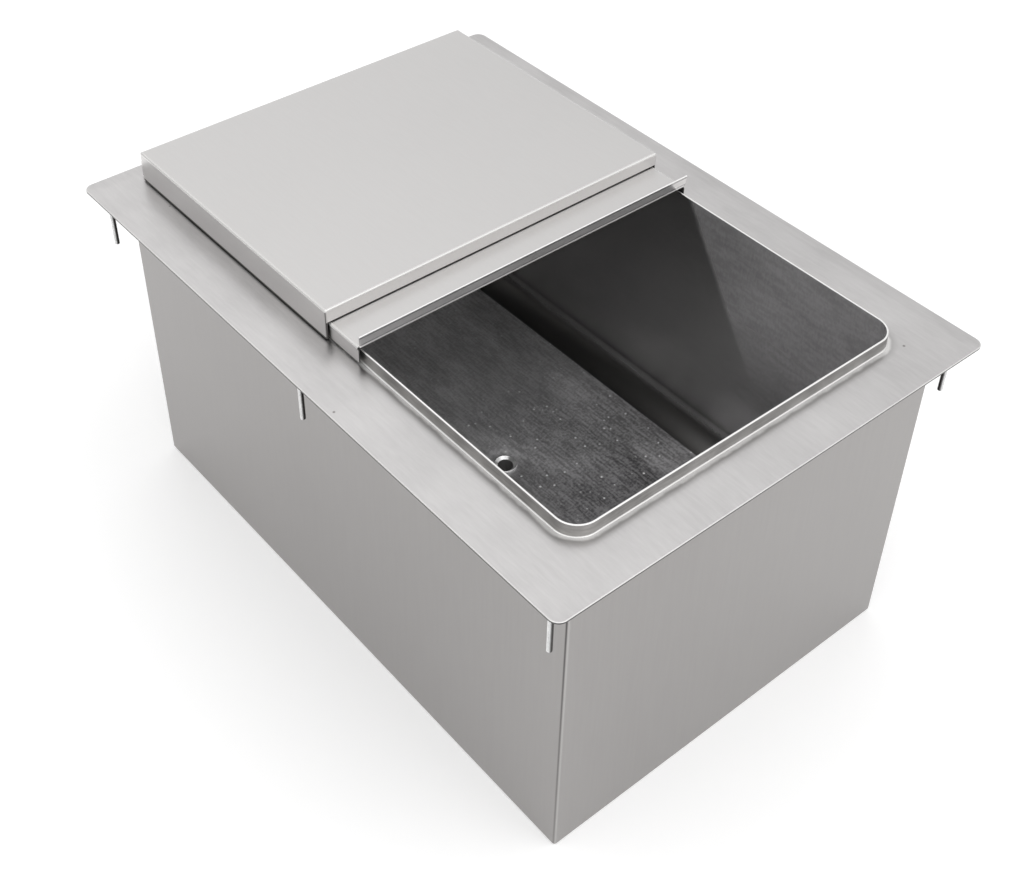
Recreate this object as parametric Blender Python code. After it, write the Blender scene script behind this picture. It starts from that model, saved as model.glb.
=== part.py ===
"""A drop-in ice bin: an insulated stainless well under a flat deck, with two sliding covers.

The bin stands on the XY plane with its origin under the middle of the deck. X runs across the
short side, Y along the long side (the front cover's handle lip faces -Y) and Z up. All sizes
are metres. Each sheet-metal piece keeps its own gauge, and pieces that touch keep one small gap.
"""

import math

import bmesh
import bpy
from mathutils import Matrix, Vector

# Sizes that every piece shares
GAP = 0.0003                    # air left between two pieces that touch
MERGE_DISTANCE = 0.000001       # points closer than this are one point
CUT_OVERRUN = 0.005             # how far a cutter reaches past what it cuts
ROUND_STEPS = 24                # flats on a turned piece
BEND_STEPS = 4                  # flats on a sheet bend
SMOOTH_ANGLE = math.radians(35)

# Deck: the flat top flange that hangs on the counter's edge
DECK_WIDTH = 0.324
DECK_LENGTH = 0.457
DECK_HEIGHT = 0.231             # top of the deck above the standing plane
DECK_SHEET = 0.0015
DECK_CORNER_RADIUS = 0.0065
DECK_BORDER = 0.010             # outer band that falls a little towards the edge
DECK_BORDER_FALL = 0.0006
DECK_EDGE_ROUND = 0.0004
DECK_WELD_LEG = 0.0006          # ground weld fillet against the rim
DECK_WELD_LAND = 0.0003
DECK_BEARING = 0.0001           # band under the deck that lies on the counter, how far it stands out
WELD_STEPS = 3

# Liner: the coved well, whose walls pass up through the deck as the raised rim
RIM_HEIGHT = 0.0084             # rim above the deck's top
RIM_CORNER_RADIUS = 0.0145
RIM_EDGE_ROUND = 0.0004
LINER_SHEET = 0.0012
WELL_FLOOR_HEIGHT = 0.061       # standing plane up to the floor's edge
COVE_RADIUS = 0.018             # inside radius between wall and floor
FLOOR_FALL = 0.0015             # floor's edge down to the drain's dish
CORNER_STEPS = 8                # flats on each upright corner
SIDE_STEPS = 5                  # spans on each straight side of a loop
COVE_STEPS = 8

# Drain: a flanged fitting clamped through the floor, a coupling under it and a straight pipe
DRAIN_BORE = 0.0106
DRAIN_STEM_WIDTH = 0.0128
DRAIN_STEM_LENGTH = 0.028       # below the flange
DRAIN_FLANGE_WIDTH = 0.0174
DRAIN_FLANGE_THICKNESS = 0.0013
DRAIN_CROWN_SHARES = ((1.0, 0.35), (0.93, 0.85), (0.82, 1.0), (0.70, 0.75))
DRAIN_SEAT_WIDTH = 0.0190       # flat of the dish that the flange lies in
DRAIN_DISH_WIDTH = 0.0250
DRAIN_DISH_DEPTH = 0.0010
GASKET_WIDTH = 0.0185
GASKET_THICKNESS = 0.002
WASHER_WIDTH = 0.0185
WASHER_THICKNESS = 0.0012
LOCKNUT_ACROSS = 0.0190         # across its flats
LOCKNUT_THICKNESS = 0.006
COUPLING_WIDTH = 0.0180
COUPLING_GRIP = 0.010           # length of each of its two sockets
COUPLING_STOP = 0.001           # ring between the sockets
PIPE_RECESS = 0.0005            # pipe's end above the standing plane

# Casing: two mitred wraps, each bent round one corner, and a bottom panel on their returns
DECK_SIDE_OVERHANG = 0.0235     # deck past the casing on its long sides
DECK_END_OVERHANG = 0.017       # and on its short sides
CASING_SHEET = 0.0008
CASING_BEND_RADIUS = 0.002      # outside of every bend
CASING_TOP_RETURN = 0.010
CASING_BOTTOM_RETURN = 0.012
BOTTOM_PANEL_SHEET = 0.0008
PIPE_HOLE_CLEARANCE = 0.0015    # all round the pipe, through the bottom panel

# Insulation: boards that fill the space between the liner and the casing
SIDE_WALL_THICKNESS = 0.0155    # casing's outside to the liner's, on the long sides
END_WALL_THICKNESS = 0.0155     # and on the short sides
DRAIN_POCKET_WIDTH = 0.040      # hole in the bottom board, round the drain's nut

# Weld studs under the deck's long sides
STUD_WIDTH = 0.0033
STUD_LENGTH = 0.0385
STUD_TIP_CHAMFER = 0.0005
STUD_FOOT_WIDTH = 0.0050        # upset foot that the stud weld leaves
STUD_FOOT_HEIGHT = 0.0010
STUD_FROM_EDGE = 0.010          # deck's long edge to a stud's axis
STUD_FROM_END = 0.015           # deck's short edge to an end stud's axis
STUDS_PER_SIDE = 3
STUD_STEPS = 14

# Covers: two loose pans of one gauge, the front one running under the rear one
COVER_SHEET = 0.0009
COVER_BEND_RADIUS = 0.0013      # outside of every bend
RIM_TO_FRONT_COVER = 0.0026     # rim's outside to the front cover's, on each side
FRONT_TO_REAR_COVER = 0.00215   # front cover's outside to the rear one's, on each side
REAR_COVER_BACK_OVERHANG = 0.015
REAR_COVER_FRONT = 0.0071       # rear cover's front behind the bin's middle
COVER_LAP = 0.0334              # front cover under the rear one with the bin shut
COVER_STEP = 0.0282             # front cover's front ahead of the rear one's, as photographed
COVER_FOOT_CLEARANCE = 0.0008   # side skirts above the deck, on which the real ones slide
FRONT_COVER_SKIRT = 0.0109      # front cover's side skirts, from its top
FRONT_SKIRT_CORNER = 0.0010     # cut corner at the front of each skirt
HANDLE_LIP_HEIGHT = 0.0088
HANDLE_LIP_LEAN = math.radians(10)
REAR_COVER_CORNER_RADIUS = 0.0013
REAR_END_SKIRT = 0.0091         # its front and back skirts, from its top

# Widths, lengths, heights and places that follow from the sizes above
BODY_WIDTH = DECK_WIDTH - 2 * DECK_SIDE_OVERHANG
BODY_LENGTH = DECK_LENGTH - 2 * DECK_END_OVERHANG
RIM_WIDTH = BODY_WIDTH - 2 * SIDE_WALL_THICKNESS
RIM_LENGTH = BODY_LENGTH - 2 * END_WALL_THICKNESS
FRONT_COVER_WIDTH = RIM_WIDTH + 2 * RIM_TO_FRONT_COVER
REAR_COVER_WIDTH = FRONT_COVER_WIDTH + 2 * FRONT_TO_REAR_COVER
REAR_COVER_LENGTH = RIM_LENGTH / 2 + REAR_COVER_BACK_OVERHANG - REAR_COVER_FRONT
FRONT_COVER_FRONT = REAR_COVER_FRONT - COVER_STEP
FRONT_COVER_LENGTH = RIM_LENGTH / 2 + REAR_COVER_FRONT + COVER_LAP
DECK_UNDERSIDE = DECK_HEIGHT - DECK_SHEET
RIM_TOP = DECK_HEIGHT + RIM_HEIGHT
FLOOR_LOW = WELL_FLOOR_HEIGHT - FLOOR_FALL
DRAIN_SEAT = FLOOR_LOW - DRAIN_DISH_DEPTH
DRAIN_FLANGE_LOW = DRAIN_SEAT + GAP
STEM_END = DRAIN_FLANGE_LOW - DRAIN_STEM_LENGTH
STEM_HOLE_WIDTH = DRAIN_STEM_WIDTH + 2 * GAP
GASKET_TOP = DRAIN_SEAT - LINER_SHEET - GAP
WASHER_TOP = GASKET_TOP - GASKET_THICKNESS - GAP
LOCKNUT_TOP = WASHER_TOP - WASHER_THICKNESS - GAP
STOP_TOP = STEM_END - GAP
STOP_LOW = STOP_TOP - COUPLING_STOP
CASING_TOP = DECK_UNDERSIDE - GAP
CASING_INSIDE_RADIUS = CASING_BEND_RADIUS - CASING_SHEET
PANEL_LOW = CASING_SHEET + GAP
BOARD_LOW = PANEL_LOW + BOTTOM_PANEL_SHEET + GAP
BOARD_MIDDLE = FLOOR_LOW - LINER_SHEET - GAP
BOARD_TOP = CASING_TOP - CASING_SHEET - GAP
# A square board corner that stands this far off both walls just clears the bend inside them
BOARD_CLEARANCE = GAP + CASING_INSIDE_RADIUS * (1 - math.cos(math.pi / 4))
BOARD_HALF_X = BODY_WIDTH / 2 - CASING_SHEET - BOARD_CLEARANCE
BOARD_HALF_Y = BODY_LENGTH / 2 - CASING_SHEET - BOARD_CLEARANCE
COVER_FOOT = DECK_HEIGHT + COVER_FOOT_CLEARANCE
FRONT_COVER_TOP = COVER_FOOT + FRONT_COVER_SKIRT
REAR_COVER_TOP = FRONT_COVER_TOP + GAP + REAR_END_SKIRT
LOOP_POINTS = 4 * (CORNER_STEPS + SIDE_STEPS)

BRUSHED_STEEL = ((0.60, 0.60, 0.59), 0.34, 1.0)
LINER_STEEL = ((0.48, 0.48, 0.48), 0.36, 1.0)
CASING_STEEL = ((0.54, 0.54, 0.53), 0.42, 1.0)
POLISHED_STEEL = ((0.74, 0.74, 0.73), 0.15, 1.0)
RUBBER = ((0.03, 0.03, 0.03), 0.80, 0.0)
FOAM = ((0.84, 0.80, 0.68), 0.95, 0.0)


def clear_scene():
    for item in list(bpy.data.objects):
        bpy.data.objects.remove(item, do_unlink=True)


def make_material(name, look):
    colour, roughness, metallic = look
    material = bpy.data.materials.new(name)
    material.use_nodes = True
    shader = material.node_tree.nodes["Principled BSDF"]
    shader.inputs["Base Color"].default_value = (*colour, 1.0)
    shader.inputs["Roughness"].default_value = roughness
    shader.inputs["Metallic"].default_value = metallic
    return material


def rounded_loop(half_x, half_y, radius, z, corner_steps=CORNER_STEPS):
    """A level rectangle with round corners, anticlockwise from the +X end of its +X +Y corner."""
    radius = max(radius, 0)
    arcs = []
    for quarter, (side_x, side_y) in enumerate(((1, 1), (-1, 1), (-1, -1), (1, -1))):
        middle = Vector((side_x * (half_x - radius), side_y * (half_y - radius), z))
        angles = [(quarter + step / corner_steps) * math.pi / 2 for step in range(corner_steps + 1)]
        arcs.append([middle + radius * Vector((math.cos(a), math.sin(a), 0)) for a in angles])
    points = []
    for arc, following in zip(arcs, arcs[1:] + arcs[:1]):
        points += arc
        points += [arc[-1].lerp(following[0], step / SIDE_STEPS) for step in range(1, SIDE_STEPS)]
    return points


def matching_circle(width, z):
    """A circle that rounded_loop can be skinned to: as many points, the same ones on the diagonals."""
    points = []
    for number in range(LOOP_POINTS):
        angle = math.pi / 4 + math.tau * (number - CORNER_STEPS / 2) / LOOP_POINTS
        points.append(Vector((width / 2 * math.cos(angle), width / 2 * math.sin(angle), z)))
    return points


def circle(width, z, steps=ROUND_STEPS):
    angles = [math.tau * step / steps for step in range(steps)]
    return [Vector((width / 2 * math.cos(a), width / 2 * math.sin(a), z)) for a in angles]


def hexagon(across, z, steps=ROUND_STEPS):
    """A hexagon with as many points as a circle, so that the two can be skinned together."""
    points = []
    for step in range(steps):
        angle = math.tau * step / steps
        from_flat = angle % (math.pi / 3) - math.pi / 6
        reach = across / 2 / math.cos(from_flat)
        points.append(Vector((reach * math.cos(angle), reach * math.sin(angle), z)))
    return points


def to_left(direction):
    return Vector((-direction.y, direction.x))


def bent_path(path, radius, inset=0):
    """Points of a path whose corners, all turns to the left, are bends of the given radius.

    The radius is the one on the path itself; inset moves the whole line to the left of it.
    """
    corners = [Vector(point) for point in path]
    legs = [(after - before).normalized() for before, after in zip(corners, corners[1:])]
    points = [corners[0] + inset * to_left(legs[0])]
    for corner, before, after in zip(corners[1:], legs, legs[1:]):
        turn = before.angle(after)
        centre = corner + radius * (to_left(before) - math.tan(turn / 2) * before)
        for step in range(BEND_STEPS + 1):
            spoke = Matrix.Rotation(turn * step / BEND_STEPS, 2) @ -to_left(before)
            points.append(centre + (radius - inset) * spoke)
    points.append(corners[-1] + inset * to_left(legs[-1]))
    return points


def skin(mesh, loops, closed):
    """Joins loops of equal length by faces, round to the first loop or capped at both ends."""
    rows = [[mesh.verts.new(point) for point in loop] for loop in loops]
    pairs = list(zip(rows, rows[1:]))
    if closed:
        pairs.append((rows[-1], rows[0]))
    else:
        mesh.faces.new(rows[0])
        mesh.faces.new(rows[-1])
    for near, far in pairs:
        for number in range(len(near)):
            following = (number + 1) % len(near)
            mesh.faces.new((near[number], near[following], far[following], far[number]))


def grid(mesh, rows):
    """An open patch of faces between rows of equal length."""
    rows = [[mesh.verts.new(point) for point in row] for row in rows]
    for near, far in zip(rows, rows[1:]):
        for number in range(len(near) - 1):
            mesh.faces.new((near[number], near[number + 1], far[number + 1], far[number]))


def finish(name, mesh, material, origin=Vector(), is_solid=True):
    """Makes a named object of a built mesh, its round parts smooth and its origin where asked."""
    bmesh.ops.remove_doubles(mesh, verts=mesh.verts, dist=MERGE_DISTANCE)
    bmesh.ops.recalc_face_normals(mesh, faces=mesh.faces)
    largest = max(mesh.faces, key=lambda face: face.calc_area())
    if not is_solid and largest.normal.z < 0:
        bmesh.ops.reverse_faces(mesh, faces=mesh.faces)
    bmesh.ops.translate(mesh, verts=mesh.verts, vec=-origin)
    data = bpy.data.meshes.new(name)
    mesh.to_mesh(data)
    mesh.free()
    data.shade_smooth()
    data.set_sharp_from_angle(angle=SMOOTH_ANGLE)
    data.materials.append(material)
    return place(name, data, origin)


def place(name, data, location):
    item = bpy.data.objects.new(name, data)
    item.location = location
    bpy.context.collection.objects.link(item)
    return item


def skinned(name, loops, material, closed=True, origin=Vector()):
    mesh = bmesh.new()
    skin(mesh, loops, closed)
    return finish(name, mesh, material, origin)


def block(name, low, high, material):
    """A plain block between two opposite corners."""
    mesh = bmesh.new()
    bmesh.ops.create_cube(mesh, size=1)
    bmesh.ops.scale(mesh, verts=mesh.verts, vec=Vector(high) - Vector(low))
    bmesh.ops.translate(mesh, verts=mesh.verts, vec=(Vector(low) + Vector(high)) / 2)
    return finish(name, mesh, material)


def make_deck(material):
    """A flat sheet with a falling border and a hole for the rim, the weld running round the hole.

    Underneath, a pressed band between the casing and the studs bears on the counter.
    """
    hole_x = RIM_WIDTH / 2 + GAP
    hole_y = RIM_LENGTH / 2 + GAP
    hole_radius = RIM_CORNER_RADIUS + GAP

    def round_hole(reach, z):
        return rounded_loop(hole_x + reach, hole_y + reach, hole_radius + reach, z)

    def round_edge(inset, z):
        return rounded_loop(
            DECK_WIDTH / 2 - inset, DECK_LENGTH / 2 - inset, DECK_CORNER_RADIUS - inset, z
        )

    loops = [round_hole(0, DECK_UNDERSIDE), round_hole(0, DECK_HEIGHT + DECK_WELD_LEG)]
    for step in range(WELD_STEPS + 1):
        angle = math.pi / 2 * step / WELD_STEPS
        reach = DECK_WELD_LAND + DECK_WELD_LEG * (1 - math.cos(angle))
        loops.append(round_hole(reach, DECK_HEIGHT + DECK_WELD_LEG * (1 - math.sin(angle))))
    loops.append(round_edge(DECK_BORDER, DECK_HEIGHT))
    loops.append(round_edge(DECK_EDGE_ROUND, DECK_HEIGHT - DECK_BORDER_FALL))
    loops.append(round_edge(0, DECK_HEIGHT - DECK_BORDER_FALL - DECK_EDGE_ROUND))
    loops.append(round_edge(0, DECK_UNDERSIDE - DECK_BORDER_FALL))
    loops.append(round_edge(DECK_BORDER, DECK_UNDERSIDE))
    stud_clearance = STUD_FROM_EDGE + STUD_FOOT_WIDTH / 2 + GAP
    outer_x, outer_y = DECK_WIDTH / 2 - stud_clearance, DECK_LENGTH / 2 - stud_clearance
    inner_x, inner_y = BODY_WIDTH / 2 + GAP, BODY_LENGTH / 2 + GAP
    for half_x, half_y, drop in (
        (outer_x, outer_y, 0), (outer_x - GAP, outer_y - GAP, DECK_BEARING),
        (inner_x + GAP, inner_y + GAP, DECK_BEARING), (inner_x, inner_y, 0),
    ):
        loops.append(rounded_loop(half_x, half_y, CASING_BEND_RADIUS, DECK_UNDERSIDE - drop))
    skinned("top_flange", loops, material)


def liner_face(offset):
    """Loops of the liner's inner face moved out by offset, from its rim down to the drain hole."""
    half_x = RIM_WIDTH / 2 - LINER_SHEET + offset
    half_y = RIM_LENGTH / 2 - LINER_SHEET + offset
    corner = RIM_CORNER_RADIUS - LINER_SHEET + offset
    edge = RIM_EDGE_ROUND if offset else -RIM_EDGE_ROUND
    loops = [rounded_loop(half_x - edge, half_y - edge, corner - edge, RIM_TOP)]
    loops.append(rounded_loop(half_x, half_y, corner, RIM_TOP - RIM_EDGE_ROUND))
    bend = COVE_RADIUS + offset
    for step in range(COVE_STEPS + 1):
        angle = math.pi / 2 * step / COVE_STEPS
        inset = bend * (1 - math.cos(angle))
        z = WELL_FLOOR_HEIGHT + COVE_RADIUS - bend * math.sin(angle)
        loops.append(rounded_loop(half_x - inset, half_y - inset, corner, z))
    loops.append(matching_circle(DRAIN_DISH_WIDTH, FLOOR_LOW - offset))
    loops.append(matching_circle(DRAIN_SEAT_WIDTH, DRAIN_SEAT - offset))
    loops.append(matching_circle(STEM_HOLE_WIDTH, DRAIN_SEAT - offset))
    return loops


def make_liner(material):
    """One sheet for rim and well: its inner face down to the drain hole and its outer face back up."""
    skinned("liner", liner_face(0) + liner_face(LINER_SHEET)[::-1], material)


def make_drain(steel, rubber):
    """The fitting, what clamps it to the floor, and the coupling and pipe that lead the water out."""
    flange = []
    for width_share, height_share in DRAIN_CROWN_SHARES:
        height = height_share * DRAIN_FLANGE_THICKNESS
        flange.append((width_share * DRAIN_FLANGE_WIDTH, DRAIN_FLANGE_LOW + height))
    rings = {
        "drain_fitting": [
            (DRAIN_STEM_WIDTH, STEM_END), (DRAIN_STEM_WIDTH, DRAIN_FLANGE_LOW),
            (DRAIN_FLANGE_WIDTH, DRAIN_FLANGE_LOW), *flange,
            (DRAIN_BORE, DRAIN_FLANGE_LOW), (DRAIN_BORE, STEM_END),
        ],
        "drain_gasket": washer_profile(GASKET_WIDTH, GASKET_TOP, GASKET_THICKNESS),
        "drain_washer": washer_profile(WASHER_WIDTH, WASHER_TOP, WASHER_THICKNESS),
        "drain_coupling": [
            (COUPLING_WIDTH, STOP_LOW - COUPLING_GRIP), (COUPLING_WIDTH, STOP_TOP + COUPLING_GRIP),
            (STEM_HOLE_WIDTH, STOP_TOP + COUPLING_GRIP), (STEM_HOLE_WIDTH, STOP_TOP),
            (DRAIN_BORE, STOP_TOP), (DRAIN_BORE, STOP_LOW),
            (STEM_HOLE_WIDTH, STOP_LOW), (STEM_HOLE_WIDTH, STOP_LOW - COUPLING_GRIP),
        ],
        "drain_pipe": [
            (DRAIN_STEM_WIDTH, PIPE_RECESS), (DRAIN_STEM_WIDTH, STOP_LOW - GAP),
            (DRAIN_BORE, STOP_LOW - GAP), (DRAIN_BORE, PIPE_RECESS),
        ],
    }
    for name, profile in rings.items():
        material = rubber if name == "drain_gasket" else steel
        skinned(name, [circle(width, z) for width, z in profile], material)
    nut_low = LOCKNUT_TOP - LOCKNUT_THICKNESS
    skinned("drain_locknut", [
        hexagon(LOCKNUT_ACROSS, nut_low), hexagon(LOCKNUT_ACROSS, LOCKNUT_TOP),
        circle(STEM_HOLE_WIDTH, LOCKNUT_TOP), circle(STEM_HOLE_WIDTH, nut_low),
    ], steel)


def washer_profile(width, top, thickness):
    low = top - thickness
    return [(width, low), (width, top), (STEM_HOLE_WIDTH, top), (STEM_HOLE_WIDTH, low)]


def make_casing(material):
    """Two equal wraps, one turned half round from the other, and the panel that lies in them.

    A wrap is a wall with returns at its top and bottom. It runs along the left side, round the
    near bend and along the front, and is mitred where it meets the other wrap.
    """
    path = [(CASING_TOP_RETURN, CASING_TOP), (0, CASING_TOP), (0, 0), (CASING_BOTTOM_RETURN, 0)]
    section = bent_path(path, CASING_BEND_RADIUS)
    section += bent_path(path, CASING_BEND_RADIUS, CASING_SHEET)[::-1]
    half_x, half_y = BODY_WIDTH / 2, BODY_LENGTH / 2
    seam = GAP / math.sqrt(2)
    stations = [[Vector((inset - half_x, half_y - inset - seam, z)) for inset, z in section]]
    for step in range(BEND_STEPS + 1):
        angle = math.pi * (1 + step / BEND_STEPS / 2)
        spoke = Vector((math.cos(angle), math.sin(angle), 0))
        station = []
        for inset, z in section:
            radius = max(CASING_BEND_RADIUS - inset, 0)
            centre = Vector((inset + radius - half_x, inset + radius - half_y, z))
            station.append(centre + radius * spoke)
        stations.append(station)
    stations.append([Vector((half_x - inset - seam, inset - half_y, z)) for inset, z in section])
    wrap = skinned("casing_front_left", stations, material, closed=False)
    other = place("casing_back_right", wrap.data, Vector())
    other.rotation_euler.z = math.pi

    panel_x, panel_y = half_x - CASING_BEND_RADIUS, half_y - CASING_BEND_RADIUS
    panel_top = PANEL_LOW + BOTTOM_PANEL_SHEET
    hole = DRAIN_STEM_WIDTH + 2 * PIPE_HOLE_CLEARANCE
    skinned("casing_bottom", [
        rounded_loop(panel_x, panel_y, CASING_BEND_RADIUS, PANEL_LOW),
        rounded_loop(panel_x, panel_y, CASING_BEND_RADIUS, panel_top),
        matching_circle(hole, panel_top), matching_circle(hole, PANEL_LOW),
    ], material)


def make_insulation(material):
    """One board under the well and one against each of its four walls."""
    skinned("insulation_bottom", [
        rounded_loop(BOARD_HALF_X, BOARD_HALF_Y, 0, BOARD_LOW),
        rounded_loop(BOARD_HALF_X, BOARD_HALF_Y, 0, BOARD_MIDDLE),
        matching_circle(DRAIN_POCKET_WIDTH, BOARD_MIDDLE),
        matching_circle(DRAIN_POCKET_WIDTH, BOARD_LOW),
    ], material)
    near_x = RIM_WIDTH / 2 + GAP
    near_y = RIM_LENGTH / 2 + GAP
    side_low = BOARD_MIDDLE + GAP
    end_half_x = near_x - GAP
    boards = {
        "insulation_left": ((-BOARD_HALF_X, -BOARD_HALF_Y), (-near_x, BOARD_HALF_Y)),
        "insulation_right": ((near_x, -BOARD_HALF_Y), (BOARD_HALF_X, BOARD_HALF_Y)),
        "insulation_front": ((-end_half_x, -BOARD_HALF_Y), (end_half_x, -near_y)),
        "insulation_back": ((-end_half_x, near_y), (end_half_x, BOARD_HALF_Y)),
    }
    for name, (low, high) in boards.items():
        block(name, (*low, side_low), (*high, BOARD_TOP), material)


def make_studs(material):
    """Studs welded under the deck near its long edges, their feet clear of the falling border."""
    from_edge = STUD_FROM_EDGE - STUD_FOOT_WIDTH / 2
    fall = DECK_BORDER_FALL * max(DECK_BORDER - from_edge, 0) / DECK_BORDER
    top = DECK_UNDERSIDE - GAP - fall
    tip_width = STUD_WIDTH - 2 * STUD_TIP_CHAMFER
    profile = [
        (STUD_FOOT_WIDTH, 0), (STUD_FOOT_WIDTH, -STUD_FOOT_HEIGHT), (STUD_WIDTH, -STUD_FOOT_HEIGHT),
        (STUD_WIDTH, STUD_TIP_CHAMFER - STUD_LENGTH), (tip_width, -STUD_LENGTH),
    ]
    across = DECK_WIDTH / 2 - STUD_FROM_EDGE
    along = DECK_LENGTH / 2 - STUD_FROM_END
    mesh_data = None
    for side, x in (("left", -across), ("right", across)):
        for number in range(STUDS_PER_SIDE):
            y = along * (2 * number / (STUDS_PER_SIDE - 1) - 1)
            name = f"stud_{side}_{number + 1}"
            if mesh_data:
                place(name, mesh_data, Vector((x, y, top)))
                continue
            loops = [circle(width, z, STUD_STEPS) for width, z in profile]
            stud = skinned(name, loops, material, closed=False)
            stud.location = (x, y, top)
            mesh_data = stud.data


def make_front_cover(material):
    """A sheet with a side skirt bent down along each long edge and a handle lip bent up in front.

    The upper face is drawn as one open surface and given its thickness by Solidify.
    """
    half = FRONT_COVER_WIDTH / 2
    flat = half - COVER_BEND_RADIUS
    top, low = FRONT_COVER_TOP, COVER_FOOT
    rear = FRONT_COVER_FRONT + FRONT_COVER_LENGTH
    across = bent_path([(half, low), (half, top), (-half, top), (-half, low)], COVER_BEND_RADIUS)
    # The lip's back face and the cover's top meet in a bend that starts one radius behind the front
    inside = COVER_BEND_RADIUS - COVER_SHEET
    start = FRONT_COVER_FRONT + COVER_BEND_RADIUS
    turn = math.pi / 2 - HANDLE_LIP_LEAN
    foot = start - inside * math.tan(turn / 2)
    lip_top = (foot - HANDLE_LIP_HEIGHT * math.tan(HANDLE_LIP_LEAN), top + HANDLE_LIP_HEIGHT)
    upright = bent_path([lip_top, (foot, top), (rear, top)], inside)[:-1]

    mesh = bmesh.new()
    grid(mesh, [[Vector((x, y, z)) for x, z in across] for y in (start, rear)])
    grid(mesh, [[Vector((x, y, z)) for x in (flat, -flat)] for y, z in upright])
    for side in (-1, 1):
        # The lip and the skirt each reach out over the open corner between their bends
        grid(mesh, [[Vector((side * x, y, z)) for x in (flat, half)] for y, z in upright[:2]])
        outline = [
            (start, top - COVER_BEND_RADIUS), (FRONT_COVER_FRONT, top - COVER_BEND_RADIUS),
            (FRONT_COVER_FRONT, low + FRONT_SKIRT_CORNER),
            (FRONT_COVER_FRONT + FRONT_SKIRT_CORNER, low), (start, low),
        ]
        mesh.faces.new([mesh.verts.new((side * half, y, z)) for y, z in outline])
    origin = Vector((0, FRONT_COVER_FRONT, FRONT_COVER_TOP))
    cover = finish("front_cover", mesh, material, origin, is_solid=False)
    sheet = cover.modifiers.new("sheet", "SOLIDIFY")
    sheet.thickness = COVER_SHEET
    sheet.offset = -1
    sheet.use_even_offset = True


def make_rear_cover(material):
    """A pan with four skirts, its front and back ones cut short to clear the front cover."""
    half_x = REAR_COVER_WIDTH / 2
    half_y = REAR_COVER_LENGTH / 2
    middle = Vector((0, REAR_COVER_FRONT + half_y, 0))
    low = COVER_FOOT

    def face(offset):
        """Loops of the outer face moved in by offset, from the top's edge down the skirts."""
        bend = COVER_BEND_RADIUS - offset
        loops = []
        for step in range(BEND_STEPS + 1):
            angle = math.pi / 2 * step / BEND_STEPS
            inset = COVER_BEND_RADIUS - bend * math.sin(angle)
            corner = REAR_COVER_CORNER_RADIUS - inset
            z = REAR_COVER_TOP - COVER_BEND_RADIUS + bend * math.cos(angle)
            loops.append(rounded_loop(half_x - inset, half_y - inset, corner, z, BEND_STEPS))
        corner = REAR_COVER_CORNER_RADIUS - offset
        loops.append(rounded_loop(half_x - offset, half_y - offset, corner, low, BEND_STEPS))
        return [[point + middle for point in loop] for loop in loops]

    origin = Vector((0, REAR_COVER_FRONT, REAR_COVER_TOP))
    loops = face(0) + face(COVER_SHEET)[::-1]
    cover = skinned("rear_cover", loops, material, closed=False, origin=origin)
    reach_x = half_x - COVER_SHEET - GAP
    reach_y = half_y + CUT_OVERRUN
    cutter = block(
        "rear_cover_skirt_cut",
        (-reach_x, middle.y - reach_y, low - CUT_OVERRUN),
        (reach_x, middle.y + reach_y, REAR_COVER_TOP - REAR_END_SKIRT),
        material,
    )
    cutter.hide_render = True
    cutter.display_type = "WIRE"
    cut = cover.modifiers.new("short_end_skirts", "BOOLEAN")
    cut.operation = "DIFFERENCE"
    cut.solver = "EXACT"
    cut.object = cutter


def build():
    clear_scene()
    brushed = make_material("brushed_steel", BRUSHED_STEEL)
    casing_steel = make_material("casing_steel", CASING_STEEL)
    polished = make_material("polished_steel", POLISHED_STEEL)
    make_deck(brushed)
    make_liner(make_material("liner_steel", LINER_STEEL))
    make_drain(polished, make_material("rubber", RUBBER))
    make_casing(casing_steel)
    make_insulation(make_material("foam", FOAM))
    make_studs(polished)
    make_front_cover(brushed)
    make_rear_cover(brushed)


build()
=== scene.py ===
"""A stainless drop-in ice bin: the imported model's pieces redrawn with their real bends, cut edges
and ground finishes, on a pale floor under soft light. The file goes from the outer casing inwards
to the well and up to the covers, and ends with the camera. All sizes are metres.
"""

import bpy
import numpy as np
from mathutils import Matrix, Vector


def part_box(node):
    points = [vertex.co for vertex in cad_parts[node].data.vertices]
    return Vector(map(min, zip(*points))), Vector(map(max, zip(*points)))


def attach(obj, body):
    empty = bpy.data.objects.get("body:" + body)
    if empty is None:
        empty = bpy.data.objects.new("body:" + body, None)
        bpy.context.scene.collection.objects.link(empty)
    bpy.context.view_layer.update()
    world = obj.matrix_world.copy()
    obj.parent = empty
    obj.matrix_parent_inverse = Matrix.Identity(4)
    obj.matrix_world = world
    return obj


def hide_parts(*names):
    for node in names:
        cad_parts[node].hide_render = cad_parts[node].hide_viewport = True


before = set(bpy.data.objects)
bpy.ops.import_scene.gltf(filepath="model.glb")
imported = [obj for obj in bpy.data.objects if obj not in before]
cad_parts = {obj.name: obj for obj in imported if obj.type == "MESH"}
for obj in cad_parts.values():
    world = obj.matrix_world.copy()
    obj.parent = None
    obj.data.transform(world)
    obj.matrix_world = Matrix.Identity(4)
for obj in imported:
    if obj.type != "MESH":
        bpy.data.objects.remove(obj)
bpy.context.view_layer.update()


# Casing wraps: the insulated body's outer skin, two lengths of 0.8 mm stainless sheet in a dull
# satin, each bent round one corner of the bin and returned inwards at top and bottom. They meet in
# two mitred seams. The upright bend carries a line of painted shade, fainter downwards, and a line
# of painted highlight.

CASING_SHEET = 0.0008
CASING_BEND = 0.0020
CASING_TOP_RETURN = 0.010
CASING_FOOT_RETURN = 0.012
CASING_SEAM = 0.0002
CUT_EDGE = 0.00012
HOLD = 0.0001
TIGHT_BEND = 0.0022
WIDE_BEND = 0.0080
NOT_UPRIGHT = 0.5
NO_LENGTH = 1e-7
NO_AREA = 1e-13


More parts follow.
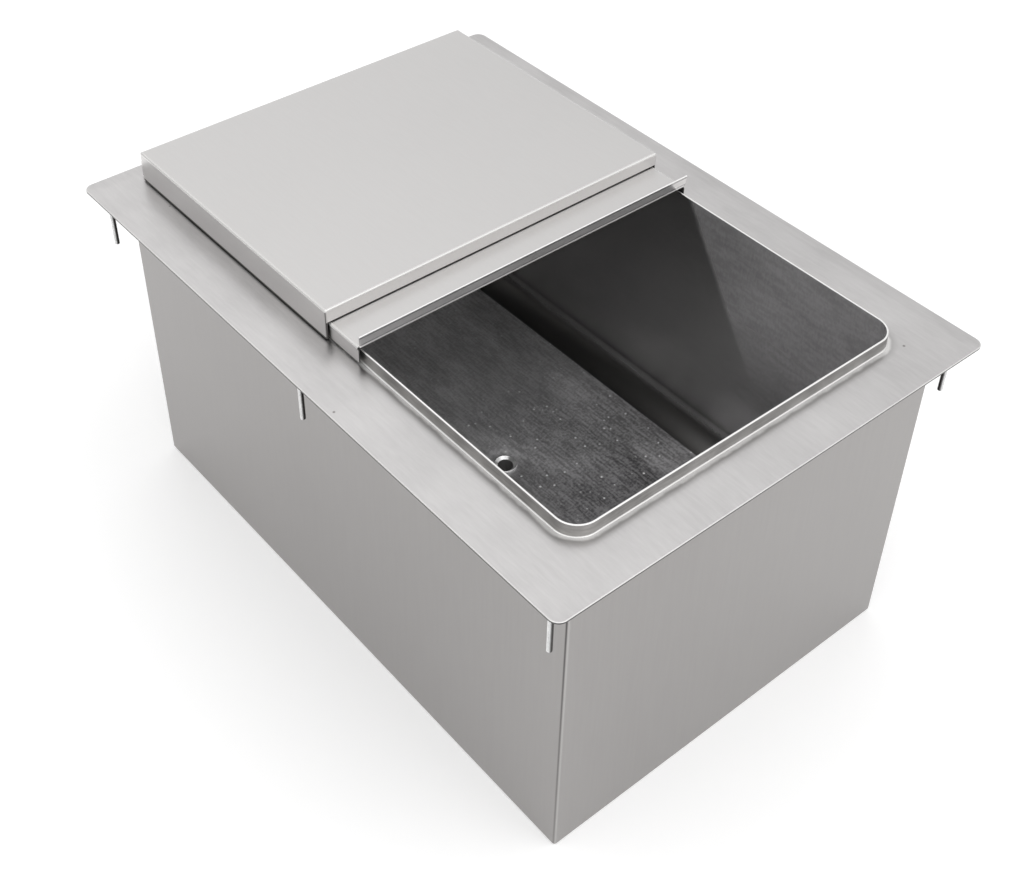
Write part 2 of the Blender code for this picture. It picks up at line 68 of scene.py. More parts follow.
def bent_line(corners, radii, steps=6, hold=HOLD, closed=True):
    """A line in a plane with its corners rounded, as rows of two numbers.

    Where the line turns through an angle t from direction u to direction v, with n pointing to
    the side it turns to, the arc is centre - r cos(p) n + r sin(p) u for p from 0 to t, and its
    centre stands r from both legs. One point is kept a hold's length before and after each arc,
    so that the shading of the flats stays flat.
    """
    line = np.array(corners, float)
    if closed:
        before, middle, after = np.roll(line, 1, 0), line, np.roll(line, -1, 0)
    else:
        before, middle, after = line[:-2], line[1:-1], line[2:]
    radius = np.broadcast_to(np.array(radii, float), len(middle))[:, None]
    u, v = middle - before, after - middle
    u /= np.linalg.norm(u, axis=1, keepdims=True)
    v /= np.linalg.norm(v, axis=1, keepdims=True)
    turn = np.arctan2(u[:, 0] * v[:, 1] - u[:, 1] * v[:, 0], (u * v).sum(1))[:, None]
    n = np.sign(turn) * np.stack([-u[:, 1], u[:, 0]], 1)
    start = middle - radius * np.tan(abs(turn) / 2) * u
    centre = start + radius * n
    p = (abs(turn) * np.linspace(0, 1, steps + 1))[..., None]
    arc = centre[:, None] + radius[:, None] * (u[:, None] * np.sin(p) - n[:, None] * np.cos(p))
    rows = np.concatenate(
        [arc[:, :1] - hold * u[:, None], arc, arc[:, -1:] + hold * v[:, None]], 1
    ).reshape(-1, 2)
    return rows if closed else np.vstack([line[:1], rows, line[-1:]])


def tightness(grid, rows, columns):
    """How tightly a grid of points is folded at each point, and how upright its faces stand there.

    The fold is the angle between the normals of two neighbouring faces over the distance between
    their middles, the larger of the two directions. That is one over the radius, and it is scaled
    so that a radius of TIGHT_BEND or less gives 1, and one of WIDE_BEND or more gives 0. The
    second number is 1 where the four faces round a point are all upright, and 0 where the upward
    part of a normal is NOT_UPRIGHT or more, which is a slope of 30 degrees.
    """
    normal = np.cross(grid[1:, 1:] - grid[:-1, :-1], grid[:-1, 1:] - grid[1:, :-1])
    size = np.linalg.norm(normal, axis=-1)
    normal /= np.maximum(size, NO_AREA / 100)[..., None]
    middle = (grid[1:, 1:] + grid[:-1, :-1] + grid[:-1, 1:] + grid[1:, :-1]) / 4
    room = ((0, rows - len(normal)), (0, columns - normal.shape[1]))
    fold = np.zeros((rows, columns))
    for axis in (0, 1):
        is_whole = (size > NO_AREA) & (np.roll(size, 1, axis) > NO_AREA)
        turn = np.arccos(np.clip((normal * np.roll(normal, 1, axis)).sum(-1), -1, 1)) * is_whole
        span = np.linalg.norm(middle - np.roll(middle, 1, axis), axis=-1)
        bend = turn / np.maximum(span, NO_LENGTH)
        if room[axis][1]:
            bend[(slice(None),) * axis + (0,)] = 0
        bend = np.pad(bend, room)
        fold = np.maximum(fold, np.maximum(bend, np.roll(bend, 1, 1 - axis)))
    fold = np.clip((fold - 1 / WIDE_BEND) / (1 / TIGHT_BEND - 1 / WIDE_BEND), 0, 1)
    slope = np.pad(np.abs(normal[..., 2]), room)
    slope = np.maximum(slope, np.roll(slope, 1, 0))
    return fold, 1 - np.clip(np.maximum(slope, np.roll(slope, 1, 1)) / NOT_UPRIGHT, 0, 1)


def carry(mesh, name, values):
    """Writes one number for each point of the mesh, as an attribute that its material reads."""
    found = mesh.attributes.get(name) or mesh.attributes.new(name, "FLOAT", "POINT")
    found.data.foreach_set("value", np.ravel(values))


def skin(name, points, ring_rows=False, ring_columns=True, caps=False, smooth=40):
    """A mesh object over a grid of points: point (i, j) is joined to (i + 1, j) and (i, j + 1).

    Rows or columns may run round to the first one again, and open ends may be capped with one
    flat face each. A closed skin whose volume comes out negative is turned to face outwards.
    Its points carry their tightness as the attribute "fold" on level bends and edges, and as
    "corner" on upright ones.
    """
    rows, columns = points.shape[:2]
    grid = np.concatenate([points, points[:1]]) if ring_rows else points
    grid = np.concatenate([grid, grid[:, :1]], 1) if ring_columns else grid
    number = np.arange(rows * columns).reshape(rows, columns)
    around = np.vstack([number, number[:1]]) if ring_rows else number
    around = np.hstack([around, around[:, :1]]) if ring_columns else around
    faces = np.stack(
        [around[:-1, :-1], around[:-1, 1:], around[1:, 1:], around[1:, :-1]], -1
    ).reshape(-1, 4)
    flat = points.reshape(-1, 3)
    a, b, c, d = (flat[faces[:, k]] for k in range(4))
    volume = (np.cross(a, b) * c).sum() + (np.cross(a, c) * d).sum()
    faces = faces.tolist()
    if caps:
        for end in (number[0][::-1], number[-1]):
            ring = flat[end]
            volume += (np.cross(ring[:-1], ring[1:]) * ring[0]).sum()
            faces.append(end.tolist())
    if volume < 0:
        faces = [face[::-1] for face in faces]
    mesh = bpy.data.meshes.new(name)
    mesh.from_pydata(flat.tolist(), [], faces)
    fold, upright = tightness(grid, rows, columns)
    carry(mesh, "fold", fold * (1 - upright))
    carry(mesh, "corner", fold * upright)
    mesh.validate()
    mesh.shade_smooth()
    mesh.set_sharp_from_angle(angle=np.radians(smooth))
    item = bpy.data.objects.new(name, mesh)
    bpy.context.scene.collection.objects.link(item)
    return item


def new_material(name):
    """A material with a Principled shader alone in it, as (material, its node tree, shader)."""
    material = bpy.data.materials.new(name)
    material.use_nodes = True
    tree = material.node_tree
    tree.nodes.clear()
    output = tree.nodes.new("ShaderNodeOutputMaterial")
    shader = tree.nodes.new("ShaderNodeBsdfPrincipled")
    tree.links.new(shader.outputs["BSDF"], output.inputs["Surface"])
    return material, tree, shader


def add_node(tree, kind, settings=(), **inputs):
    """Adds a node, sets its own settings, and links or sets its inputs by name."""
    node = tree.nodes.new(kind)
    for key, value in dict(settings).items():
        setattr(node, key, value)
    for key, value in inputs.items():
        socket = node.inputs[key.replace("_", " ")]
        if isinstance(value, bpy.types.NodeSocket):
            tree.links.new(value, socket)
        else:
            socket.default_value = value
    return node


def ramp(tree, factor, stops):
    """A scale of greys or colours along the factor: stops are (place, colour) pairs."""
    node = tree.nodes.new("ShaderNodeValToRGB")
    band = node.color_ramp
    while len(band.elements) < len(stops):
        band.elements.new(1.0)
    for element, (place, colour) in zip(band.elements, stops):
        element.position = place
        element.color = (*(colour if isinstance(colour, tuple) else (colour,) * 3), 1.0)
    tree.links.new(factor, node.inputs["Fac"])
    return node.outputs["Color"]


def mixed(tree, factor, a, b, blend="MIX"):
    """Colour a turned towards colour b by the factor."""
    node = tree.nodes.new("ShaderNodeMix")
    node.data_type = "RGBA"
    node.blend_type = blend
    for socket, value in ((node.inputs[0], factor), (node.inputs[6], a), (node.inputs[7], b)):
        if isinstance(value, bpy.types.NodeSocket):
            tree.links.new(value, socket)
        elif isinstance(value, tuple):
            socket.default_value = (*value, 1.0)
        else:
            socket.default_value = value
    return node.outputs[2]


def noise(tree, scale, place=None, turn=0.0, detail=4.0, roughness=0.55, distortion=0.0):
    """Noise on Object coordinates, stretched by a scale for each of x, y and z."""
    if place is None:
        place = add_node(tree, "ShaderNodeTexCoord").outputs["Object"]
    lay = add_node(tree, "ShaderNodeMapping", Vector=place, Scale=scale, Rotation=(0, 0, turn))
    return add_node(
        tree, "ShaderNodeTexNoise", Vector=lay.outputs["Vector"], Scale=1.0, Detail=detail,
        Roughness=roughness, Distortion=distortion,
    ).outputs["Fac"]


def satin_steel(name, dark, light, grain, rough, cloud=9.0, scratch=0.05,
                fold_tone=(0.95, 0.94, 0.93), shine=0.16, fold_metal=0.7, corner_tone=0.5,
                pits=0.0):
    """Rolled and sanded stainless sheet.

    The grain is noise stretched along one direction: grain gives how many times finer it is in
    x, y and z. Wide clouds of noise shift the tone between dark and light, both feed roughness,
    and the fine grain alone is the bump. Level folds and cut edges, where the attribute "fold" is
    1, turn to their own tone and gloss, mostly a painted highlight, and upright ones, "corner",
    turn to painted shade, the dark tone times corner_tone.
    Pits are the middles of a few Voronoi cells.
    """
    material, tree, shader = new_material(name)
    lines = noise(tree, grain, detail=5.0, roughness=0.62)
    clouds = noise(tree, (cloud,) * 3, detail=3.0, roughness=0.5)
    tone = mixed(tree, 0.55, ramp(tree, lines, [(0.30, 0.0), (0.70, 1.0)]),
                 ramp(tree, clouds, [(0.30, 0.0), (0.70, 1.0)]))
    fold = add_node(tree, "ShaderNodeAttribute", {"attribute_name": "fold"}).outputs["Fac"]
    corner = add_node(tree, "ShaderNodeAttribute", {"attribute_name": "corner"}).outputs["Fac"]
    flat = mixed(tree, tone, dark, light)
    if pits:
        place = add_node(tree, "ShaderNodeTexCoord").outputs["Object"]
        cells = add_node(tree, "ShaderNodeTexVoronoi", Vector=place, Scale=55.0)
        middle = ramp(tree, cells.outputs["Distance"], [(0.03, 1.0), (0.055, 0.0)])
        few = ramp(tree, cells.outputs["Color"], [(0.50, 0.0), (0.54, pits)])
        flat = mixed(tree, mixed(tree, 1.0, middle, few, "MULTIPLY"), flat, (0.20, 0.19, 0.18))
    # Painted shade in upright folds, painted highlight on level folds and cut edges.
    flat = mixed(tree, corner, flat, tuple(corner_tone * share for share in dark))
    colour = mixed(tree, fold, flat, fold_tone)
    tree.links.new(colour, shader.inputs["Base Color"])
    dull = ramp(tree, tone, [(0.0, rough[0]), (1.0, rough[1])])
    tree.links.new(mixed(tree, fold, dull, (shine,) * 3), shader.inputs["Roughness"])
    tree.links.new(ramp(tree, fold, [(0.0, 1.0), (1.0, fold_metal)]),
                   shader.inputs["Metallic"])
    bump = add_node(tree, "ShaderNodeBump", Height=lines, Strength=scratch, Distance=0.0004)
    tree.links.new(bump.outputs["Normal"], shader.inputs["Normal"])
    return material, tree, shader


def casing_wrap():
    """One wrap: its section, carried along one side, round the near bend and along the front.

    A station of the section at inset d from the outer face stands on the mitre plane x inset =
    y inset at both ends, and on an arc of radius bend - d round the corner.
    """
    low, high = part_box("casing_front_left")
    half_x, half_y, top = -low.x, -low.y, high.z
    t = CASING_SHEET
    section = bent_line(
        [(CASING_TOP_RETURN, top), (0, top), (0, 0), (CASING_FOOT_RETURN, 0),
         (CASING_FOOT_RETURN, t), (t, t), (t, top - t), (CASING_TOP_RETURN, top - t)],
        [CUT_EDGE, CASING_BEND, CASING_BEND, CUT_EDGE,
         CUT_EDGE, CASING_BEND - t, CASING_BEND - t, CUT_EDGE],
    )
    d, z = section.T
    hold = 2 * HOLD
    turn = np.linspace(0, np.pi / 2, 9)[:, None]
    radius = np.maximum(CASING_BEND - d, 0)
    middle = d + radius
    x = [d - half_x] * 2 + [middle - half_x - radius * np.cos(turn)]
    y = [half_y - d - CASING_SEAM, d * 0 - half_y + CASING_BEND + hold]
    y += [middle - half_y - radius * np.sin(turn)]
    x += [d * 0 - half_x + CASING_BEND + hold, half_x - d - CASING_SEAM]
    y += [d - half_y] * 2
    x, y = np.vstack(x), np.vstack(y)
    return np.stack([x, y, np.broadcast_to(z, x.shape)], -1)


front_left_wrap = casing_wrap()
casing_steel = satin_steel(
    "casing satin", (0.325, 0.313, 0.308), (0.370, 0.358, 0.352), (500, 500, 20),
    rough=(0.34, 0.42), cloud=5.0, scratch=0.04, fold_tone=(0.46, 0.45, 0.44), shine=0.26,
    corner_tone=0.25,
)[0]
height_share = front_left_wrap[..., 2] / front_left_wrap[..., 2].max()
# Painted shade and painted highlight along the upright bend: a dark line at its start, stronger
# higher up, and a bright line past its middle.
painted_shade_line = np.array([0, 0, 0, 0.4, 1, 1, 0.3, 0, 0, 0, 0, 0, 0])[:, None]
painted_shade_line = painted_shade_line * (0.40 + 0.60 * height_share)
painted_highlight_line = np.array([0, 0, 0, 0, 0, 0, 0.1, 0.6, 0.6, 0.2, 0, 0, 0])[:, None]
for wrap_node, half_turn in (("casing_front_left", (1, 1, 1)), ("casing_back_right", (-1, -1, 1))):
    wrap = skin("wrap_" + wrap_node, front_left_wrap * np.array(half_turn), caps=True)
    carry(wrap.data, "corner", painted_shade_line)
    folds = np.empty(height_share.size)
    wrap.data.attributes["fold"].data.foreach_get("value", folds)
    carry(wrap.data, "fold", np.maximum(folds.reshape(height_share.shape), painted_highlight_line))
    wrap.data.materials.append(casing_steel)
    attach(wrap, "bin")
    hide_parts(wrap_node)


# Bottom panel: a plain sheet laid on the wraps' bottom returns, with a hole for the drain pipe. It
# is never polished, so it keeps the dull mill finish of the coil, with the odd scuff.

panel_steel = satin_steel(
    "mill finish", (0.34, 0.34, 0.335), (0.45, 0.45, 0.44), (60, 260, 60),
    rough=(0.42, 0.58), cloud=14.0, scratch=0.04,
)[0]
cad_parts["casing_bottom"].data.materials.clear()
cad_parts["casing_bottom"].data.materials.append(panel_steel)


# Insulation: boards of rigid foam between the casing and the well, cream, with fine closed cells
# that browned a little with age.


def cell_foam(name):
    """Closed cells: small Voronoi cells raise a bump, and soft noise browns the cream foam."""
    material, tree, shader = new_material(name)
    place = add_node(tree, "ShaderNodeTexCoord").outputs["Object"]
    cells = add_node(tree, "ShaderNodeTexVoronoi", Vector=place, Scale=900.0).outputs["Distance"]
    age = noise(tree, (22,) * 3)
    colour = ramp(tree, age, [(0.3, (0.72, 0.64, 0.46)), (0.7, (0.86, 0.81, 0.66))])
    tree.links.new(colour, shader.inputs["Base Color"])
    bump = add_node(tree, "ShaderNodeBump", Height=cells, Strength=0.5, Distance=0.0006)
    tree.links.new(bump.outputs["Normal"], shader.inputs["Normal"])
    shader.inputs["Roughness"].default_value = 0.95
    return material


foam = cell_foam("rigid foam")
for board in ("left", "right", "front", "back", "bottom"):
    board_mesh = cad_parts["insulation_" + board].data
    board_mesh.materials.clear()
    board_mesh.materials.append(foam)


# Well and rim: one sheet makes the well and the rim that stands up through the deck. The walls
# curve into the floor in a wide cove, and the floor falls to a shallow dish. The walls keep the
# sheet's gloss, the floor is sanded by hand, the rim's edge ground round and painted with a
# highlight, its outside brushed and painted darker, as shade.

RIM_CORNER = 0.0145
RIM_EDGE = 0.0004
LINER_SHEET = 0.0012
FLOOR_EDGE = 0.0610
COVE = 0.018
FLOOR_LOW = 0.0595
DISH_WIDTH = 0.0360
DISH_SEAT = 0.0585
SEAT_WIDTH = 0.0190
STEM_HOLE = 0.0134
CORNER_STEPS = 16
FLAT = 0.0004
FLOOR_STEP = 0.000005
FLOOR_FADE = (0.00005, 0.00002)
PAINTED_LIGHT_FROM = 0.2850
PAINTED_LIGHT_SLOPE = 1.55
PAINTED_LIGHT_FADE = (-0.004, 0.006)
PAINTED_LIGHT_HEIGHTS = (0.110, 0.190)
DARK_FRONT = (-0.090, 0.040)
PALER_EDGES = (0.066, 0.086)
SIDE_PLACES = np.array([0.002, 0.06, 0.16, 0.28, 0.42, 0.58, 0.72, 0.84, 0.94, 0.998])


def round_frames(half_x, half_y, radius, z, places=SIDE_PLACES):
    """Level rectangles with round corners, one row for each set of sizes.

    Corner k is centre + radius (cos a, sin a) with a from k to k + 1 quarter turns, and the
    sides are straight lines between the corners' ends, with points at the given shares.
    """
    sizes = np.broadcast_arrays(*(np.asarray(s, float) for s in (half_x, half_y, radius, z)))
    half_x, half_y, radius, z = (np.atleast_1d(s)[:, None, None] for s in sizes)
    side = np.array([[1, 1], [-1, 1], [-1, -1], [1, -1]])
    quarter = np.arange(4)[:, None]
    a = (quarter + np.linspace(0, 1, CORNER_STEPS + 1)) * np.pi / 2
    x = side[:, :1] * (half_x - radius) + radius * np.cos(a)
    y = side[:, 1:] * (half_y - radius) + radius * np.sin(a)
    corners = np.stack([x, y], -1)
    first, last = np.roll(corners[:, :, :1], -1, 1), corners[:, :, -1:]
    sides = last + (first - last) * places[:, None]
    loop = np.concatenate([corners, sides], 2)
    rows = loop.reshape(len(loop), -1, 2)
    return np.concatenate([rows, np.broadcast_to(z[:, 0, :, None], rows[..., :1].shape)], -1)


def rings(width, z, like):
    """Level circles with as many points as the frames, the middles of their corners on the
    diagonals: the point numbered k stands at 45 degrees + k - half a corner's steps, in turns."""
    count = like.shape[1]
    turn = np.pi / 4 + 2 * np.pi * (np.arange(count) - CORNER_STEPS / 2) / count
    radius, z = np.asarray(width, float)[:, None] / 2, np.asarray(z, float)[:, None]
    x, y = radius * np.cos(turn), radius * np.sin(turn)
    return np.stack([x, y, np.broadcast_to(z, x.shape)], -1)


def well_face(half_x, half_y, top, out):
    """One face of the well from its rim to its drain hole, moved out by `out` from the inner face.

    Down the wall, a quarter turn of cove, straight lines from the floor's outline to the dish's
    circle, and a dish whose depth follows half a cosine wave.
    """
    corner = RIM_CORNER - LINER_SHEET + out
    half_x, half_y = half_x - LINER_SHEET + out, half_y - LINER_SHEET + out
    edge = RIM_EDGE if out else -RIM_EDGE
    p = np.linspace(0, np.pi / 2, 7)
    inset = np.append(edge * (1 - np.sin(p)), 0)
    z = np.append(top - RIM_EDGE * (1 - np.cos(p)), top - 2 * RIM_EDGE)
    wall = round_frames(half_x - inset, half_y - inset, corner - inset, z)
    p = np.linspace(0, np.pi / 2, 23)
    bend = COVE + out
    inset = np.concatenate([[0], bend * (1 - np.cos(p)), [bend + FLAT]])
    z = np.concatenate([[FLOOR_EDGE + COVE + FLAT], FLOOR_EDGE + COVE - bend * np.sin(p),
                        [FLOOR_EDGE - out - FLOOR_STEP]])
    cove = round_frames(half_x - inset, half_y - inset, corner, z)
    share = np.array([0.25, 0.5, 0.75, 0.92])[:, None, None]
    dish_edge = rings([DISH_WIDTH + 1.5 * FLAT], [FLOOR_LOW - out], cove)
    floor = cove[-1:] + (dish_edge - cove[-1:]) * share
    p = np.linspace(0, np.pi, 9)
    width = DISH_WIDTH + (SEAT_WIDTH - DISH_WIDTH) * p / np.pi
    z = FLOOR_LOW - out - (FLOOR_LOW - DISH_SEAT) * (1 - np.cos(p)) / 2
    dish = rings(np.append(width, [SEAT_WIDTH - FLAT, STEM_HOLE + FLAT / 2, STEM_HOLE]),
                 np.append(z, [DISH_SEAT - out] * 3), cove)
    return np.concatenate([wall, cove, floor, dish_edge, dish])


def sanded_well(name):
    """The well's steel: glossy walls and cove, and a floor sanded by hand.

    Everything below the floor's edge counts as floor. Its strokes are two stretched noises that
    run near the long way of the well, its smears a wide noise, and its specks the middles of
    scattered Voronoi cells. The walls carry the same marks much fainter, and the cove is painted
    darker, as shade. The walls' open half, above and in front of a slanting line, is painted paler
    and duller, as the light that falls past the covers' front edge, and this painted light fades
    out lower down. The floor is painted darker towards the front, as shade, and is paler along its
    long edges.
    """
    material, tree, shader = new_material(name)
    place = add_node(tree, "ShaderNodeTexCoord").outputs["Object"]
    strokes = mixed(tree, 0.45, noise(tree, (620, 70, 300), place, 0.12, detail=5.0),
                    noise(tree, (420, 620, 300), place, -0.35, detail=5.0))
    smears = noise(tree, (24, 10, 24), place, detail=4.0, distortion=1.0)
    height = add_node(tree, "ShaderNodeSeparateXYZ", Vector=place).outputs["Z"]
    on_floor = add_node(
        tree, "ShaderNodeMapRange", Value=height, From_Min=FLOOR_EDGE + FLOOR_FADE[0],
        From_Max=FLOOR_EDGE + FLOOR_FADE[1],
    ).outputs["Result"]
    fine = ramp(tree, strokes, [(0.43, 0.0), (0.57, 1.0)])
    wide = ramp(tree, smears, [(0.38, 0.0), (0.62, 1.0)])
    tone = mixed(tree, 0.45, fine, wide)
    wall = mixed(tree, tone, (0.52, 0.515, 0.51), (0.56, 0.555, 0.55))
    pale = mixed(tree, tone, (0.54, 0.53, 0.535), (0.76, 0.75, 0.755))
    # Painted light: the walls' open half, in front of and above a slanting line, is painted paler and
    # less metallic, as the light past the covers' front edge.
    slant = add_node(tree, "ShaderNodeVectorMath", {"operation": "DOT_PRODUCT"}, Vector=place)
    slant.inputs[1].default_value = (0, -PAINTED_LIGHT_SLOPE, 1)
    past_shadow_line = add_node(
        tree, "ShaderNodeMapRange", {"interpolation_type": "SMOOTHSTEP"},
        Value=slant.outputs["Value"], From_Min=PAINTED_LIGHT_FROM + PAINTED_LIGHT_FADE[0],
        From_Max=PAINTED_LIGHT_FROM + PAINTED_LIGHT_FADE[1],
    ).outputs["Result"]
    high_up = add_node(
        tree, "ShaderNodeMapRange", {"interpolation_type": "SMOOTHSTEP"}, Value=height,
        From_Min=PAINTED_LIGHT_HEIGHTS[0], From_Max=PAINTED_LIGHT_HEIGHTS[1],
    ).outputs["Result"]
    painted_light_half = mixed(tree, 1.0, past_shadow_line, high_up, "MULTIPLY")
    wall = mixed(tree, painted_light_half, wall, pale)
    in_cove = add_node(
        tree, "ShaderNodeMapRange", {"interpolation_type": "SMOOTHSTEP"}, Value=height,
        From_Min=FLOOR_EDGE + 0.9 * COVE, From_Max=FLOOR_EDGE + 0.3 * COVE,
    ).outputs["Result"]
    # Painted shade: the cove is painted dark.
    wall = mixed(tree, in_cove, wall, (0.24, 0.235, 0.23))
    axes = add_node(tree, "ShaderNodeSeparateXYZ", Vector=place).outputs
    # Painted shade: the floor is painted darker towards the front.
    inner = add_node(
        tree, "ShaderNodeMapRange", {"interpolation_type": "SMOOTHSTEP"}, Value=axes["Y"],
        From_Min=DARK_FRONT[0], From_Max=DARK_FRONT[1],
    ).outputs["Result"]
    floor = mixed(tree, inner, mixed(tree, tone, (0.16, 0.158, 0.16), (0.56, 0.55, 0.565)),
                  mixed(tree, tone, (0.64, 0.635, 0.645), (1.0, 0.99, 1.0)))
    # The floor is paler along its long edges.
    sideways = add_node(tree, "ShaderNodeVectorMath", {"operation": "ABSOLUTE"}, Vector=place)
    paler_edges = add_node(
        tree, "ShaderNodeMapRange", {"interpolation_type": "SMOOTHSTEP"},
        Value=add_node(tree, "ShaderNodeSeparateXYZ", Vector=sideways.outputs["Vector"]).outputs["X"],
        From_Min=PALER_EDGES[0], From_Max=PALER_EDGES[1], To_Max=0.35,
    ).outputs["Result"]
    floor = mixed(tree, paler_edges, floor, mixed(tree, tone, (0.62, 0.61, 0.62), (1.0, 0.99, 1.0)))
    cells = add_node(tree, "ShaderNodeTexVoronoi", Vector=place, Scale=200.0)
    speck = ramp(tree, cells.outputs["Distance"], [(0.12, 1.0), (0.20, 0.0)])
    chosen = ramp(tree, cells.outputs["Color"], [(0.56, 0.0), (0.62, 1.0)])
    specks = mixed(tree, 1.0, mixed(tree, 1.0, speck, chosen, "MULTIPLY"), on_floor, "MULTIPLY")
    floor = mixed(tree, specks, floor, (1.0, 1.0, 1.0))
    # Painted highlight: the rim's rounded edge, where "fold" is 1, turns almost white.
    fold = add_node(tree, "ShaderNodeAttribute", {"attribute_name": "fold"}).outputs["Fac"]
    colour = mixed(tree, fold, mixed(tree, on_floor, wall, floor), (0.97, 0.965, 0.96))
    tree.links.new(colour, shader.inputs["Base Color"])
    smooth = mixed(tree, in_cove, ramp(tree, fine, [(0.0, 0.20), (1.0, 0.25)]), (0.42,) * 3)
    gloss = mixed(tree, on_floor, smooth, ramp(tree, tone, [(0.0, 0.42), (1.0, 0.60)]))
    tree.links.new(mixed(tree, fold, gloss, (0.14,) * 3), shader.inputs["Roughness"])
    metal = mixed(tree, painted_light_half, ramp(tree, on_floor, [(0.0, 1.0), (1.0, 0.74)]), (0.70,) * 3)
    tree.links.new(mixed(tree, specks, metal, (0.1,) * 3), shader.inputs["Metallic"])
    depth = ramp(tree, on_floor, [(0.0, 0.03), (1.0, 0.60)])
    bump = add_node(tree, "ShaderNodeBump", Height=strokes, Strength=depth, Distance=0.0004)
    tree.links.new(bump.outputs["Normal"], shader.inputs["Normal"])
    return material


liner_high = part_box("liner")[1]
inner_face = well_face(liner_high.x, liner_high.y, liner_high.z, 0)
outer_face = well_face(liner_high.x, liner_high.y, liner_high.z, LINER_SHEET)
well = skin("well_and_rim", np.concatenate([inner_face, outer_face[::-1]]), ring_rows=True)
well.data.materials.append(sanded_well("sanded well"))
# The rim's outside is brushed, and painted darker than the well, as shade.
well.data.materials.append(satin_steel(
    "rim outside", (0.19, 0.187, 0.183), (0.50, 0.49, 0.48), (60, 60, 800),
    rough=(0.30, 0.42), cloud=60.0, scratch=0.14,
)[0])
is_outside = np.arange(len(well.data.polygons)) >= len(inner_face) * inner_face.shape[1]
well.data.polygons.foreach_set("material_index", is_outside.astype(np.int32))
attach(well, "bin")
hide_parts("liner")


# Drain: a turned fitting whose rounded, countersunk flange sits in the dish, with a gasket, a
# washer and a locknut under the floor. A coupling joins its stem to a short pipe that leaves at the
# bottom. All but the rubber gasket is polished steel.

DRAIN_STEPS = 64
FLANGE_R = 0.0081
FLANGE_ROUND = 0.0006
SINK_R = 0.0073
SINK_DEPTH = 0.0017
SLIT = 0.0003
FLANGE_LOW = DISH_SEAT + SLIT
STEM_R = 0.0064
BORE_R = 0.0053
SLEEVE_R = 0.0090
SOCKET_R = 0.0067
SOCKET_GRIP = 0.010
STOP_RING = 0.001
TURNED_EDGE = 0.0002
TURNED_HOLD = 0.00004
STAIN_FADE = 0.0006


def turned(name, profile, radii, steps=5):
    """A turned piece: a closed section of (radius, height) points carried round the Z axis."""
    r, z = bent_line(profile, radii, steps=steps, hold=TURNED_HOLD).T
    a = np.linspace(0, 2 * np.pi, DRAIN_STEPS, endpoint=False)[:, None]
    points = np.stack([r * np.cos(a), r * np.sin(a), np.broadcast_to(z, (len(a), len(z)))], -1)
    return skin(name, points, ring_rows=True)


def polished_steel(name, tone=0.74, rough=(0.07, 0.16), metal=1.0, shade_below=None):
    """Turned steel: fine rings of noise along its height that vary its gloss and bump, and faint
    stains in its colour.

    Below a given height it is painted dark, as shade in the bore. Where the attribute "scale" is
    1 it is painted nearly black, as shade.
    """
    material, tree, shader = new_material(name)
    marks = noise(tree, (90, 90, 4200), detail=2.0)
    stains = noise(tree, (160,) * 3, detail=3.0)
    colour = ramp(tree, stains, [(0.3, tone * 0.86), (0.65, tone)])
    if shade_below is not None:
        place = add_node(tree, "ShaderNodeTexCoord").outputs["Object"]
        height = add_node(tree, "ShaderNodeSeparateXYZ", Vector=place).outputs["Z"]
        bore_shade = add_node(tree, "ShaderNodeMapRange", Value=height, From_Min=shade_below,
                       From_Max=shade_below - STAIN_FADE).outputs["Result"]
        # Painted shade in the bore, below the given height.
        colour = mixed(tree, bore_shade, colour, (0.42, 0.415, 0.41))
    # Painted shade where the attribute "scale" is 1.
    scale = add_node(tree, "ShaderNodeAttribute", {"attribute_name": "scale"}).outputs["Fac"]
    colour = mixed(tree, scale, colour, (0.06, 0.058, 0.056))
    tree.links.new(colour, shader.inputs["Base Color"])
    tree.links.new(ramp(tree, marks, [(0.3, rough[0]), (0.7, rough[1])]),
                   shader.inputs["Roughness"])
    bump = add_node(tree, "ShaderNodeBump", Height=marks, Strength=0.05, Distance=0.0002)
    tree.links.new(bump.outputs["Normal"], shader.inputs["Normal"])
    shader.inputs["Metallic"].default_value = metal
    return material


polish = polished_steel("polished fitting", tone=0.92)
fitting_low, fitting_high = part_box("drain_fitting")
crown = fitting_high.z
fitting = turned("drain_flange", [
    (STEM_R, fitting_low.z), (STEM_R, FLANGE_LOW), (FLANGE_R, FLANGE_LOW),
    (FLANGE_R, crown), (SINK_R, crown), (BORE_R, crown - SINK_DEPTH), (BORE_R, fitting_low.z),
], [TURNED_EDGE, TURNED_EDGE, TURNED_EDGE / 2, FLANGE_ROUND, TURNED_EDGE, 2 * TURNED_EDGE,
    TURNED_EDGE], steps=10)
flange_satin = polished_steel(
    "rubbed flange", tone=0.97, rough=(0.16, 0.26), metal=0.6, shade_below=crown - SINK_DEPTH
)
coupling_low, coupling_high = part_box("drain_coupling")
stop_low = coupling_low.z + SOCKET_GRIP
coupling = turned("drain_sleeve", [
    (SLEEVE_R, coupling_low.z), (SLEEVE_R, coupling_high.z), (SOCKET_R, coupling_high.z),
    (SOCKET_R, stop_low + STOP_RING), (BORE_R, stop_low + STOP_RING), (BORE_R, stop_low),
    (SOCKET_R, stop_low), (SOCKET_R, coupling_low.z),
], 1.5 * TURNED_EDGE)
pipe_low, pipe_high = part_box("drain_pipe")
pipe = turned("drain_tail_pipe", [
    (STEM_R, pipe_low.z), (STEM_R, pipe_high.z), (BORE_R, pipe_high.z), (BORE_R, pipe_low.z),
], TURNED_EDGE)
for piece, node, finish in ((fitting, "drain_fitting", flange_satin),
                            (coupling, "drain_coupling", polish), (pipe, "drain_pipe", polish)):
    piece.data.materials.append(finish)
    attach(piece, "bin")
    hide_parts(node)


